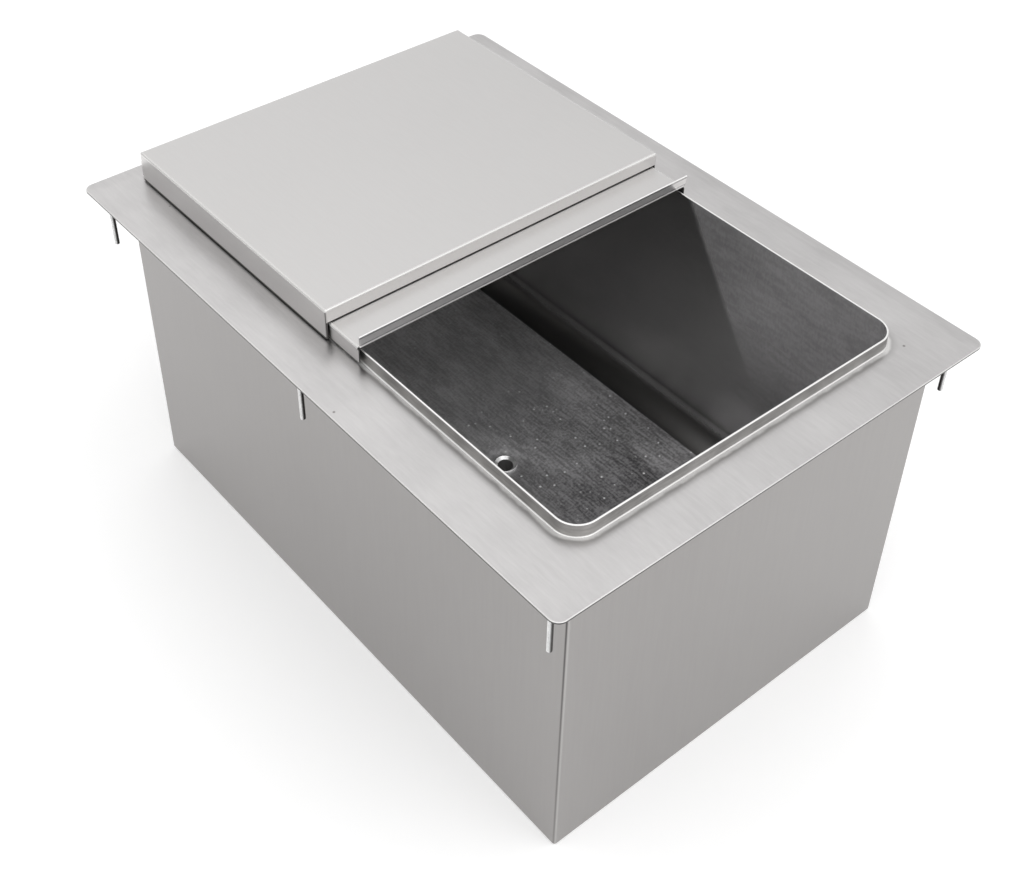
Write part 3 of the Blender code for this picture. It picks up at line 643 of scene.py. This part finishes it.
def black_rubber(name):
    """Moulded rubber: near black, matt, with a fine uneven skin and paler dusty patches."""
    material, tree, shader = new_material(name)
    dust = noise(tree, (240,) * 3, detail=5.0)
    tree.links.new(ramp(tree, dust, [(0.35, 0.018), (0.75, 0.06)]), shader.inputs["Base Color"])
    tree.links.new(ramp(tree, dust, [(0.3, 0.62), (0.7, 0.85)]), shader.inputs["Roughness"])
    bump = add_node(tree, "ShaderNodeBump", Height=dust, Strength=0.3, Distance=0.0003)
    tree.links.new(bump.outputs["Normal"], shader.inputs["Normal"])
    return material


for node, finish in (("drain_gasket", black_rubber("gasket rubber")),
                     ("drain_washer", polish), ("drain_locknut", polish)):
    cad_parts[node].data.materials.clear()
    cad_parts[node].data.materials.append(finish)


# Deck: the flat top flange, 1.5 mm sheet with a border that falls a little to a deburred edge. The
# rim is welded into its opening. The weld is ground to a small hollow fillet; the band beside it is
# brighter, partly from the grinding and partly painted highlight, and has a darker outer edge, the
# rim's painted shadow. The deck's edge is painted dark, as shade. A pressed band underneath lies on
# the counter.

DECK_SHEET = 0.0015
DECK_CORNER = 0.0065
BORDER = 0.010
BORDER_FALL = 0.0006
EDGE_ROUND = 0.0004
WELD = 0.0006
WELD_SPREAD = 0.0012
BEARING = 0.0001
BEARING_INSET = 0.0128
UNDER_EDGE = 0.0003
GROUND = 0.010

deck_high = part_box("top_flange")[1]
deck_top = deck_high.z - WELD
deck_under = deck_top - DECK_SHEET


def deck_rows():
    """The deck's section at every place round it, from the rim's foot out, over and back under.

    Rows near the rim are frames grown from the rim's outline, rows near the edge are frames
    shrunk from the deck's outline. The weld is a quarter of a hollow ellipse that starts on the
    rim's face: z = leg (1 - sin a) at reach spread (1 - cos a).
    """

    def grown(reach, z):
        reach = np.asarray(reach, float)
        return round_frames(liner_high.x + reach, liner_high.y + reach, RIM_CORNER + reach, z)

    def shrunk(inset, z):
        inset = np.asarray(inset, float)
        radius = np.maximum(DECK_CORNER - inset, 2 * EDGE_ROUND)
        return round_frames(deck_high.x - inset, deck_high.y - inset, radius, z)

    a = np.linspace(0, np.pi / 2, 8)
    weld = grown(WELD_SPREAD * (1 - np.cos(a)), deck_top + WELD * (1 - np.sin(a)))
    ground_share = np.array([0.25, 0.40, 0.65, 1])
    toe = grown(np.append(WELD_SPREAD + SLIT, GROUND * ground_share), deck_top)
    b = np.linspace(0, np.pi / 2, 6)
    edge = shrunk(EDGE_ROUND * (1 - np.sin(b)),
                  deck_top - BORDER_FALL - EDGE_ROUND * (1 - np.cos(b)))
    seat_x, seat_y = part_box("casing_front_left")[1].x, -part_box("casing_front_left")[0].y
    seat = np.array([2 * SLIT, SLIT])
    return np.concatenate([
        grown([SLIT, SLIT, 0], deck_top - np.array([DECK_SHEET, SLIT, SLIT / 3])), weld, toe,
        shrunk([BORDER + EDGE_ROUND, BORDER - EDGE_ROUND, 2 * EDGE_ROUND],
               deck_top - BORDER_FALL * np.array([0, 0.02, 0.98])),
        edge,
        shrunk([0, UNDER_EDGE, UNDER_EDGE + EDGE_ROUND, BORDER],
               deck_under - BORDER_FALL + np.array([UNDER_EDGE, 0, 0, BORDER_FALL])),
        shrunk([BEARING_INSET, BEARING_INSET + UNDER_EDGE], deck_under - np.array([0, BEARING])),
        round_frames(seat_x + seat, seat_y + seat, CASING_BEND, deck_under - np.array([BEARING, 0])),
    ])


def away_from_rim(points):
    """How far points lie outside the rim's outline, a rectangle with round corners.

    With q = |place| - (half size - corner radius), the distance is the length of q where q is
    above zero, plus the larger part of q where both are below it, less the radius.
    """
    q = np.abs(points[..., :2]) - (np.array(liner_high)[:2] - RIM_CORNER)
    reach = np.linalg.norm(np.maximum(q, 0), axis=-1) + np.minimum(q.max(-1), 0)
    return reach - RIM_CORNER


deck_points = deck_rows()
deck = skin("deck_sheet", deck_points, ring_rows=True)
deck_folds = tightness(np.pad(deck_points, ((0, 1), (0, 1), (0, 0)), "wrap"),
                       *deck_points.shape[:2])[0]
# A weaker painted highlight on the deck's edges and the weld's fillet.
carry(deck.data, "fold", 0.45 * deck_folds)
carry(deck.data, "from_rim", np.clip(away_from_rim(deck_points) / GROUND, 0, 1))
deck_satin, deck_tree, deck_shader = satin_steel(
    "deck satin", (0.570, 0.559, 0.557), (0.700, 0.687, 0.684), (500, 60, 500),
    rough=(0.28, 0.36), cloud=20.0, scratch=0.03, pits=0.8,
)
# Painted shade: the deck's edge, from halfway round its rounding and down, is painted near black.
edge_height = add_node(
    deck_tree, "ShaderNodeSeparateXYZ",
    Vector=add_node(deck_tree, "ShaderNodeTexCoord").outputs["Object"],
).outputs["Z"]
edge_shade = add_node(
    deck_tree, "ShaderNodeMapRange", Value=edge_height,
    From_Min=deck_top - BORDER_FALL - EDGE_ROUND / 2, From_Max=deck_top - BORDER_FALL - EDGE_ROUND,
).outputs["Result"]
deck_tone = deck_shader.inputs["Base Color"].links[0].from_socket
deck_metal = deck_shader.inputs["Metallic"].links[0].from_socket
from_rim = mixed(
    deck_tree, 0.25,
    add_node(deck_tree, "ShaderNodeAttribute", {"attribute_name": "from_rim"}).outputs["Fac"],
    noise(deck_tree, (90, 90, 90), detail=5.0),
)
# A brighter band next to the weld, partly the grinding and partly painted highlight, and beyond it a
# darker band, the rim's painted shadow.
rubbed = ramp(deck_tree, from_rim, [(0.26, 1.0), (0.36, 0.0)])
rim_shadow = ramp(deck_tree, from_rim, [(0.30, 0.0), (0.40, 0.7), (0.48, 0.4), (0.66, 0.0)])
deck_tone = mixed(deck_tree, rim_shadow, deck_tone, (0.46, 0.45, 0.445))
deck_tone = mixed(deck_tree, rubbed, deck_tone, (0.80, 0.79, 0.78))
deck_tree.links.new(mixed(deck_tree, edge_shade, deck_tone, (0.10, 0.098, 0.095)),
                    deck_shader.inputs["Base Color"])
deck_tree.links.new(mixed(deck_tree, rubbed, deck_metal, (0.55,) * 3),
                    deck_shader.inputs["Metallic"])
deck.data.materials.append(deck_satin)
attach(deck, "bin")
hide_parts("top_flange")


# Weld studs: six bright steel studs of 3.3 mm under the deck's long sides, shot on with a stud
# welder that leaves a flat foot. They have a fine rolled thread, a strip of painted shade down one
# side and a small chamfer at the tip.

STUD_R = 0.00165
STUD_FOOT = 0.0010
STUD_CHAMFER = 0.0005
PITCH = 0.0006
THREAD_DEPTH = 0.00015
THREAD_START = 0.0010
THREAD_RUN_IN = 0.0020
SHADE_REACH = np.radians((35, 50))


def threaded_stud(name, node, shaded_side):
    """A stud about its node's middle: radius = crest - depth times a rounded zigzag of
    (height / pitch - turn), smoothed out to nothing at the foot and cut by a cone at the tip.
    The attribute "scale", a strip of painted shade, is 1 within the first of the two reach angles
    from the shaded side, and 0 past the second.
    """
    low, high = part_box(node)
    middle = (low + high) / 2
    length = high.z - low.z
    foot_r = (high.y - low.y) / 2
    down = np.concatenate([[0, HOLD], [STUD_FOOT - HOLD, STUD_FOOT],
                           np.linspace(STUD_FOOT, length, int(8 * (length - STUD_FOOT) / PITCH))])
    a = np.linspace(0, 2 * np.pi, 18, endpoint=False)
    h, turn = np.meshgrid(down, a / (2 * np.pi), indexing="ij")
    wave = 0.5 - 0.5 * np.cos(2 * np.pi * (h / PITCH - turn))
    fade = np.clip((h - STUD_FOOT - THREAD_START) / THREAD_RUN_IN, 0, 1)
    r = STUD_R - THREAD_DEPTH * wave * fade
    r = np.minimum(r, STUD_R - STUD_CHAMFER + np.maximum(length - h, 0))
    r[:4] = np.array([foot_r - HOLD, foot_r, foot_r, foot_r - HOLD])[:, None]
    x, y = middle.x + r * np.cos(a), middle.y + r * np.sin(a)
    item = skin(name, np.stack([x, y, high.z - h], -1), caps=True, smooth=50)
    # The "scale" attribute marks a strip of painted shade, turned to each stud's shaded side.
    near, far = np.cos(SHADE_REACH)
    scale = np.clip((np.cos(a - shaded_side) - far) / (near - far), 0, 1)
    carry(item.data, "scale", np.broadcast_to(scale, r.shape))
    return item


stud_finish = polished_steel("bright stud", tone=0.86, rough=(0.14, 0.24))
for stud_side, shaded_side in (("left", np.radians(-80)), ("right", np.radians(180))):
    for stud_number in (1, 2, 3):
        stud_node = f"stud_{stud_side}_{stud_number}"
        stud = threaded_stud("threaded_" + stud_node, stud_node, shaded_side)
        stud.data.materials.append(stud_finish)
        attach(stud, "bin")
        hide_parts(stud_node)


# Front cover: one 0.9 mm stainless sheet, with a skirt bent down along each long edge, and a handle
# lip bent up in front that leans forward. The corners between the bends are left open.

COVER_SHEET = 0.0009
COVER_BEND = 0.0013
FRONT_SKIRT = 0.0109
SKIRT_CORNER = 0.0010
LIP_LEAN = np.radians(10)
LIP_EDGE = 0.0004
COVER_FRONT = -0.0211
FOOT_SHADE = 0.0006
LIP_CLEAR = 0.0008
NO_BEND = 1e-6


def cover_top_with_skirts(name, half, top, start, front, rear):
    """The sheet's U-shaped section carried from front to rear, its front end trimmed.

    The top ends where the lip's bend starts. The skirts reach on to the front, where their lower
    corner is rounded: y = front + c - sqrt(c^2 - (c - h)^2) at height h above their lower edge.
    A band along their sheared lower edges counts as a corner, painted dark as shade, and the second
    half of the section is the inside, painted dark as shade, as is the skirts' sheared front end.
    """
    low, t = top - FRONT_SKIRT, COVER_SHEET
    line = bent_line(
        [(-half, low), (-half, top), (half, top), (half, low),
         (half - t, low), (half - t, top - t), (t - half, top - t), (t - half, low)],
        [CUT_EDGE, COVER_BEND, COVER_BEND, CUT_EDGE,
         CUT_EDGE, COVER_BEND - t, COVER_BEND - t, CUT_EDGE],
    )
    k = len(line) // 8
    shade, clear = low + FOOT_SHADE, low + FOOT_SHADE + 2 * HOLD
    x, z = np.insert(line, [k, k, 3 * k, 3 * k],
                     [(-half, shade), (-half, clear), (half, clear), (half, shade)], axis=0).T
    c = SKIRT_CORNER
    rise = np.clip(c - (z - low), 0, c)
    skirt_end = front + c - np.sqrt(c ** 2 - rise ** 2)
    end = np.where(z < top - COVER_BEND - HOLD / 2, skirt_end, start)
    y = end + (rear - end) * np.array([0, 0.5, 1])[:, None]
    sheet = skin(name, np.stack([np.broadcast_to(x, y.shape), y, np.broadcast_to(z, y.shape)], -1),
                 caps=True)
    # Painted shade: a band along the skirts' lower edges counts as a corner, which is painted dark.
    carry(sheet.data, "corner", np.broadcast_to(z < shade + HOLD, y.shape))
    # Painted shade: the inside of the section and the skirts' front end take the near-black inside
    # steel.
    column = np.arange(len(sheet.data.polygons)) % len(x)
    inside = column >= len(x) // 2
    inside[-2:] = [True, False]
    sheet.data.polygons.foreach_set("material_index", inside.astype(np.int32))
    return sheet


def cover_lip(name, half, top, start, height):
    """The lip's section, an L that leans forward, carried across the cover.

    Its bend ends at the skirts' bends, and its straight part reaches over them to both sides. Its
    top edge is rounded by hand. A line of painted shade lies on the front face next to that edge and
    another above the bend. The face is lightly brightened as painted light, and a line of painted
    highlight lies below that second line, where it meets the rim.
    """
    t = COVER_SHEET
    along = np.array([-np.sin(LIP_LEAN), np.cos(LIP_LEAN)])
    back = np.array([np.cos(LIP_LEAN), np.sin(LIP_LEAN)])
    inside = COVER_BEND - t
    foot = np.array([start - inside * np.tan((np.pi / 2 - LIP_LEAN) / 2), top])
    tip = foot + along * height / np.cos(LIP_LEAN)
    outer_foot = foot - np.array([t * (1 - np.sin(LIP_LEAN)) / np.cos(LIP_LEAN), t])
    line = bent_line(
        [(start, top), foot, tip, tip - t * back, outer_foot, (start, top - t)],
        [NO_BEND, inside, LIP_EDGE, LIP_EDGE, COVER_BEND, NO_BEND], hold=HOLD / 10,
    )
    corner_points = len(line) // 6
    crest, root = line[4 * corner_points - 1], line[4 * corner_points]
    steps = np.array([0.02, 0.13, 0.20, 0.72, 0.80, 0.86, 0.89])[:, None]
    line = np.insert(line, 4 * corner_points, crest + (root - crest) * steps, axis=0)
    y, z = line.T
    reach = np.where(z > top + LIP_CLEAR, half, half - COVER_BEND)
    x = reach * np.array([-1, -0.999, 0.999, 1])[:, None]
    strip = skin(name, np.stack([x, np.broadcast_to(y, x.shape), np.broadcast_to(z, x.shape)], -1),
                 caps=True)
    # Painted shade: two dark lines on the lip's front face.
    shade = np.zeros(len(line))
    shade[4 * corner_points:4 * corner_points + 7] = [1, 1, 0, 0, 1, 1, 0]
    carry(strip.data, "corner", np.broadcast_to(shade, x.shape))
    # Painted highlight: the face is lightly brightened and a bright line runs above the foot's bend.
    bright = tightness(np.stack([x, y + 0 * x, z + 0 * x], -1)[:, np.r_[:len(line), 0]], *x.shape)[0]
    face = slice(4 * corner_points, 4 * corner_points + 6)
    bright[:, face] = np.maximum(bright[:, face], 0.22)
    bright[:, 4 * corner_points + 6:4 * corner_points + 8] = 1
    carry(strip.data, "fold", bright)
    return strip


front_low, front_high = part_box("front_cover")
front_top = front_low.z + FRONT_SKIRT
lip_start = COVER_FRONT + COVER_BEND
# The covers' steel: painted highlight on level folds, painted shade in upright ones.
cover_steel = satin_steel(
    "cover satin", (0.668, 0.657, 0.650), (0.708, 0.697, 0.690), (500, 50, 500),
    rough=(0.28, 0.37), cloud=5.0, scratch=0.03, fold_tone=(0.76, 0.75, 0.74), shine=0.27,
    corner_tone=0.15,
)[0]
# Painted shade: the covers' inside is painted near black.
cover_inside = satin_steel(
    "cover inside", (0.10, 0.098, 0.096), (0.17, 0.167, 0.164), (60, 300, 60),
    rough=(0.42, 0.55), cloud=14.0, scratch=0.03, fold_tone=(0.12, 0.118, 0.116), shine=0.4,
)[0]
# The lip's steel is a much paler copy of the cover's: painted light on the lip's face.
lip_steel = satin_steel(
    "lip satin", (0.84, 0.83, 0.82), (0.97, 0.96, 0.95), (50, 500, 500),
    rough=(0.30, 0.38), cloud=20.0, scratch=0.05, fold_tone=(0.97, 0.965, 0.96), shine=0.20,
    fold_metal=0.25, corner_tone=0.45,
)[0]
front_pan = cover_top_with_skirts(
    "front_cover_sheet", front_high.x, front_top, lip_start, COVER_FRONT, front_high.y
)
front_pan.data.materials.append(cover_steel)
front_pan.data.materials.append(cover_inside)
lip = cover_lip("front_cover_lip", front_high.x, front_top, lip_start, front_high.z - front_top)
lip.data.materials.append(lip_steel)
for piece in (front_pan, lip):
    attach(piece, "front_cover")
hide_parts("front_cover")


# Rear cover: a closed pan of the same sheet over the back half. It has four skirts with tight
# folds, the end ones cut short so that the front cover slides under them, the side ones longer.

REAR_CORNER = 0.0013
REAR_END_SKIRT = 0.0086
FOOT_LINE = 0.0011
PAN_PLACES = np.array([0.0045, 0.0047, 0.25, 0.5, 0.75, 0.9953, 0.9955])


def pan_face(half_x, half_y, middle_y, low, top, offset, steps=8):
    """One face of the pan, moved in by offset: flat top, a quarter turn of fold, skirts.

    The skirt's lower edge is at one height along the ends and at a lower one along the sides,
    and changes at the columns that stand a sheet and a slit in from each side. Three more rows
    stand on the sides' skirts, one close under the ends' lower edge and two close above their
    own, to bound lines of painted shade there.
    """
    bend = COVER_BEND - offset
    p = np.linspace(0, np.pi / 2, steps + 1)
    inset = COVER_BEND - bend * np.sin(p)
    z = top - COVER_BEND + bend * np.cos(p)
    inset = np.concatenate([[COVER_BEND + 3 * HOLD], inset, [offset, offset]])
    z = np.concatenate([[top - offset], z, [top - COVER_BEND - 2 * HOLD, top - REAR_END_SKIRT]])
    rows = round_frames(half_x - inset, half_y - inset,
                        np.maximum(REAR_CORNER - inset, HOLD), z, PAN_PLACES)
    x = rows[-1, :, 0]
    is_end = np.abs(x) < half_x - COVER_SHEET - SLIT
    feet = np.repeat(rows[-1:], 4, axis=0)
    side_rows = np.array([top - REAR_END_SKIRT - 4 * HOLD, low + FOOT_LINE + 2 * HOLD,
                          low + FOOT_LINE, low])
    feet[..., 2] = np.where(is_end, top - REAR_END_SKIRT, side_rows[:, None])
    rows = np.concatenate([rows, feet])
    rows[..., 1] += middle_y
    return rows


rear_low, rear_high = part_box("rear_cover")
rear_half_y = (rear_high.y - rear_low.y) / 2
rear_middle = (rear_high.y + rear_low.y) / 2
outer = pan_face(rear_high.x, rear_half_y, rear_middle, rear_low.z, rear_high.z, 0)
inner = pan_face(rear_high.x, rear_half_y, rear_middle, rear_low.z, rear_high.z, COVER_SHEET)
pan_points = np.concatenate([outer, inner[::-1]])
rear_pan = skin("rear_cover_pan", pan_points, caps=True)
# Painted shade: the skirts' sheared lower edges and cut front ends, and a line down the middle of
# each upright corner, are painted dark; only the other folds get the painted highlight.
is_sheared = np.zeros(pan_points.shape[:2], bool)
is_sheared[len(outer) - 2:len(outer) + 2] = True
is_sheared |= ((pan_points[..., 1] < rear_low.y + 4 * HOLD)
               & (pan_points[..., 2] < rear_high.z - REAR_END_SKIRT - HOLD))
corner_shade_line = np.exp(-((np.arange(CORNER_STEPS + 1) - CORNER_STEPS / 2) / 3) ** 2)
corner_shade_line = np.tile(np.append(corner_shade_line, 0 * PAN_PLACES), 4)
pan_folds = tightness(np.pad(pan_points, ((0, 0), (0, 1), (0, 0)), "wrap"), *pan_points.shape[:2])
carry(rear_pan.data, "fold", pan_folds[0] * (1 - pan_folds[1]) * ~is_sheared)
carry(rear_pan.data, "corner", np.maximum(pan_folds[0] * pan_folds[1] * corner_shade_line, is_sheared))
is_inside = np.arange(len(rear_pan.data.polygons)) >= len(outer) * pan_points.shape[1]
is_inside[-2:] = [False, True]
rear_pan.data.materials.append(cover_steel)
rear_pan.data.materials.append(cover_inside)
rear_pan.data.polygons.foreach_set("material_index", is_inside.astype(np.int32))
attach(rear_pan, "rear_cover")
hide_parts("rear_cover")


# Floor, light and camera: a pale matt floor, a soft box of light high over the bin's front left
# corner, two soft glows on the studio's walls, a darker patch of ceiling, and a camera above that
# same corner, about a metre away.

FLOOR_REACH = 60.0


def pale_floor():
    """A flat square under the bin, painted: almost white, with a trace of unevenness."""
    corner = np.array([[-1, -1], [1, -1], [1, 1], [-1, 1]]) * FLOOR_REACH
    mesh = bpy.data.meshes.new("studio_floor")
    mesh.from_pydata(np.hstack([corner, np.zeros((4, 1))]).tolist(), [], [[0, 1, 2, 3]])
    floor = bpy.data.objects.new("studio_floor", mesh)
    bpy.context.scene.collection.objects.link(floor)
    material, tree, shader = new_material("floor paint")
    uneven = noise(tree, (3,) * 3)
    tree.links.new(ramp(tree, uneven, [(0.3, 0.88), (0.7, 0.90)]), shader.inputs["Base Color"])
    shader.inputs["Roughness"].default_value = 0.9
    shader.inputs["Emission Color"].default_value = (1, 1, 1, 1)
    shader.inputs["Emission Strength"].default_value = 0.24
    mesh.materials.append(material)
    return floor


pale_floor()


def soft_light(name, place, size, power, aim=(0, 0, 0.15)):
    """A square light of that size, turned to face the aim."""
    light = bpy.data.lights.new(name, "AREA")
    light.shape = "SQUARE"
    light.size = size
    light.energy = power
    item = bpy.data.objects.new(name, light)
    item.location = place
    away = np.array(place) - np.array(aim)
    yaw, pitch = np.arctan2(away[1], away[0]) + np.pi / 2, np.arctan2(np.hypot(*away[:2]), away[2])
    item.rotation_euler = (pitch, 0, yaw)
    bpy.context.scene.collection.objects.link(item)
    return item


soft_light("overhead", (-0.75, -0.75, 2.3), 3.4, 29)

world = bpy.data.worlds.new("studio")
bpy.context.scene.world = world
world.use_nodes = True
room = world.node_tree
seen_at = add_node(room, "ShaderNodeTexCoord").outputs["Generated"]


def glow(towards, edge, core, dim, bright):
    """A soft patch of wall: the cosine of the angle to `towards` from edge to core is carried
    smoothly from dim to bright."""
    cosine = room.nodes.new("ShaderNodeVectorMath")
    cosine.operation = "DOT_PRODUCT"
    cosine.inputs[1].default_value = towards
    room.links.new(seen_at, cosine.inputs[0])
    return add_node(
        room, "ShaderNodeMapRange", {"interpolation_type": "SMOOTHSTEP"},
        Value=cosine.outputs["Value"], From_Min=edge, From_Max=core, To_Min=dim, To_Max=bright,
    ).outputs["Result"]


def both(a, b):
    """The sum of two glows."""
    node = room.nodes.new("ShaderNodeMath")
    node.operation = "ADD"
    room.links.new(a, node.inputs[0])
    room.links.new(b, node.inputs[1])
    return node.outputs["Value"]


window = glow((0.15, 0.50, 0.85), 0.62, 1.0, 0.60, 1.06)
right_panel = glow((0.49, -0.56, 0.67), 0.72, 0.96, 0.0, 0.60)
dark_ceiling = glow((0, 0, 1), 0.90, 1.0, 0.0, -0.40)
room.links.new(both(both(window, right_panel), dark_ceiling),
               room.nodes["Background"].inputs["Color"])

camera_data = bpy.data.cameras.new("camera")
camera_data.sensor_width = 36.0
camera_data.lens = 54.63
camera_data.shift_x = -0.0099
camera_data.shift_y = -0.0829
camera = bpy.data.objects.new("camera", camera_data)
camera.location = (-0.4791, -0.5601, 0.7907)
camera.rotation_euler = np.radians((49.408, -1.074, -40.058))
bpy.context.scene.collection.objects.link(camera)
bpy.context.scene.camera = camera
bpy.context.scene.view_settings.view_transform = "Standard"
